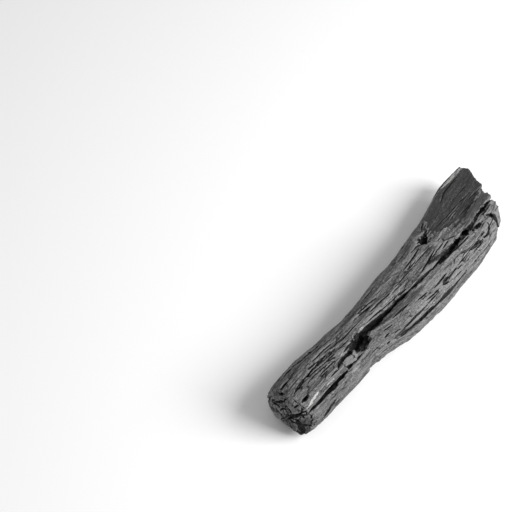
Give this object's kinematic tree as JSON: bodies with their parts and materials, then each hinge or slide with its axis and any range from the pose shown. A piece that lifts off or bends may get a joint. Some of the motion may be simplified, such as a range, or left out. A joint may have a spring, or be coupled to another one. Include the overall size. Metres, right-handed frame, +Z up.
{
  "type": "charcoal lump",
  "caption": "Long lump of branch charcoal, split along its grain, with a burnt-out knot, a sawn end, a broken end and a cleft face.",
  "frame": {"origin": "middle of the lump's box on the surface that it lies on", "axes": "+X along the grain from the sawn end to the broken end, +Y to the left flank, +Z up"},
  "size_m": [0.2292, 0.054, 0.0362],
  "materials": {
    "charcoal": "charred matte black with a satin grain and a light dust of ash"
  },
  "bodies": {
    "root": {"charcoal_lump": "charcoal"}
  },
  "joints": []
}
